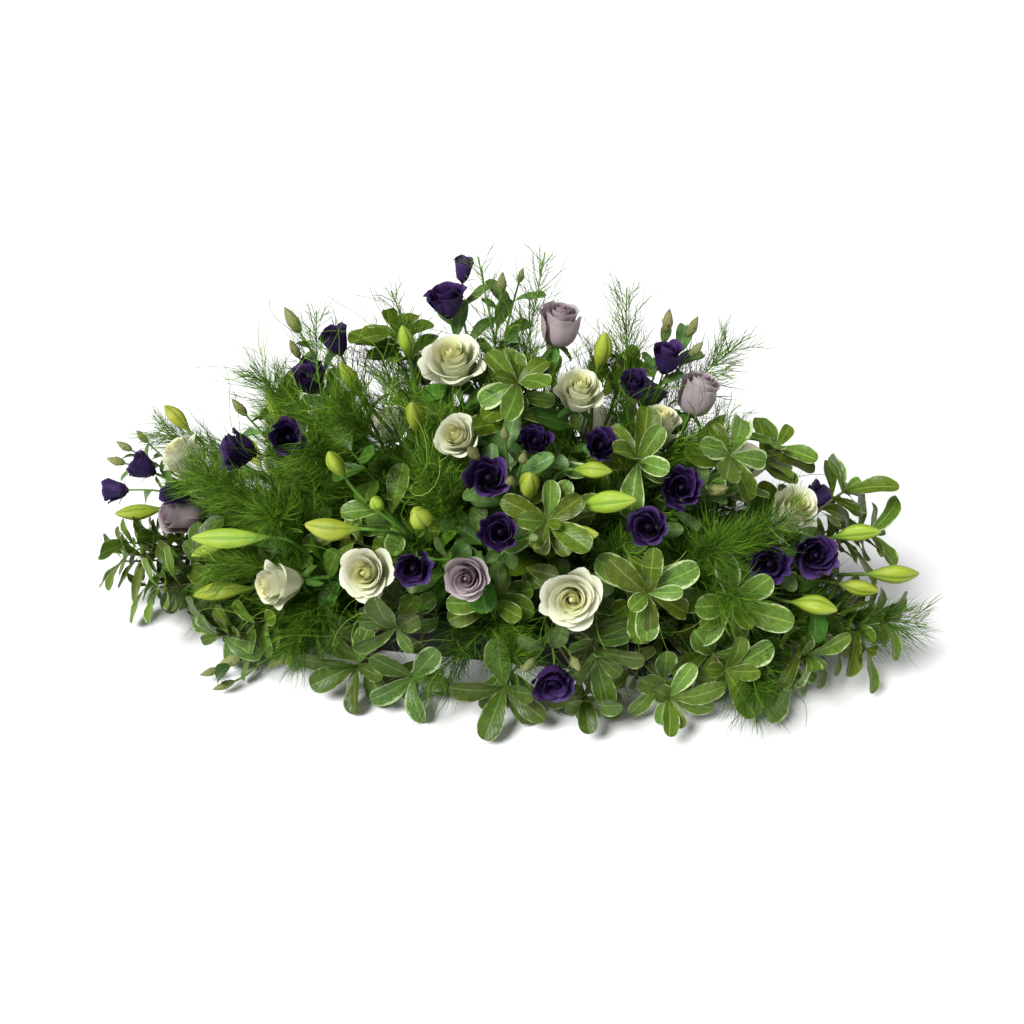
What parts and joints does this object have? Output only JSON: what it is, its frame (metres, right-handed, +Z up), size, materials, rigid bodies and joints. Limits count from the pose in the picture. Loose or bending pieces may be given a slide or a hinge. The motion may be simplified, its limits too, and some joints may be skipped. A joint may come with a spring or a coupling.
{
  "type": "casket spray",
  "caption": "Long, low oval mound of cut flowers and foliage that fans out from soaked foam in a flat-bottomed tray, to lie on a casket lid.",
  "frame": {"origin": "middle of the flat underside of the tray, on the surface that the spray rests on", "axes": "+X along the length of the spray, to the right in the picture; -Y towards the side that the picture shows; +Z up"},
  "size_m": [1.0239, 0.5041, 0.4795],
  "materials": {
    "tray_plastic": "satin black plastic",
    "floral_foam": "wet, dark green, matt foam",
    "white_rose_petals": "soft matt cream-white petals, greener to the heart",
    "lilac_rose_petals": "soft matt dusty lilac petals",
    "lisianthus_petals": "satin deep violet petals",
    "lily_buds": "satin yellow-green buds and leaves",
    "pittosporum_leaves": "satin leaves with cream edges",
    "asparagus_fern": "fine matt green needles"
  },
  "bodies": {
    "root": {"tray": "tray_plastic", "foam": "floral_foam", "white_rose_1": "white_rose_petals", "white_rose_2": "white_rose_petals", "white_rose_3": "white_rose_petals", "white_rose_4": "white_rose_petals", "white_rose_5": "white_rose_petals", "white_rose_6": "white_rose_petals", "white_rose_7": "white_rose_petals", "white_rose_8": "white_rose_petals", "white_rose_9": "white_rose_petals", "white_rose_10": "white_rose_petals", "white_rose_11": "white_rose_petals", "white_rose_12": "white_rose_petals", "lilac_rose_1": "lilac_rose_petals", "lilac_rose_2": "lilac_rose_petals", "lilac_rose_3": "lilac_rose_petals", "lilac_rose_4": "lilac_rose_petals", "lisianthus_1": "lisianthus_petals", "lisianthus_2": "lisianthus_petals", "lisianthus_3": "lisianthus_petals", "lisianthus_4": "lisianthus_petals", "lisianthus_5": "lisianthus_petals", "lisianthus_6": "lisianthus_petals", "lisianthus_7": "lisianthus_petals", "lisianthus_8": "lisianthus_petals", "lisianthus_9": "lisianthus_petals", "lisianthus_10": "lisianthus_petals", "lisianthus_11": "lisianthus_petals", "lisianthus_12": "lisianthus_petals", "lisianthus_13": "lisianthus_petals", "lily_1": "lily_buds", "lily_2": "lily_buds", "lily_3": "lily_buds", "lily_4": "lily_buds", "lily_5": "lily_buds", "lily_6": "lily_buds", "lily_7": "lily_buds", "pittosporum_1": "pittosporum_leaves", "pittosporum_2": "pittosporum_leaves", "pittosporum_3": "pittosporum_leaves", "pittosporum_4": "pittosporum_leaves", "pittosporum_5": "pittosporum_leaves", "pittosporum_6": "pittosporum_leaves", "pittosporum_7": "pittosporum_leaves", "pittosporum_8": "pittosporum_leaves", "pittosporum_9": "pittosporum_leaves", "pittosporum_10": "pittosporum_leaves", "pittosporum_11": "pittosporum_leaves", "pittosporum_12": "pittosporum_leaves", "fern_1": "asparagus_fern", "fern_2": "asparagus_fern", "fern_3": "asparagus_fern", "fern_4": "asparagus_fern", "fern_5": "asparagus_fern", "fern_6": "asparagus_fern", "fern_7": "asparagus_fern", "fern_8": "asparagus_fern", "fern_9": "asparagus_fern", "fern_10": "asparagus_fern"}
  },
  "joints": []
}
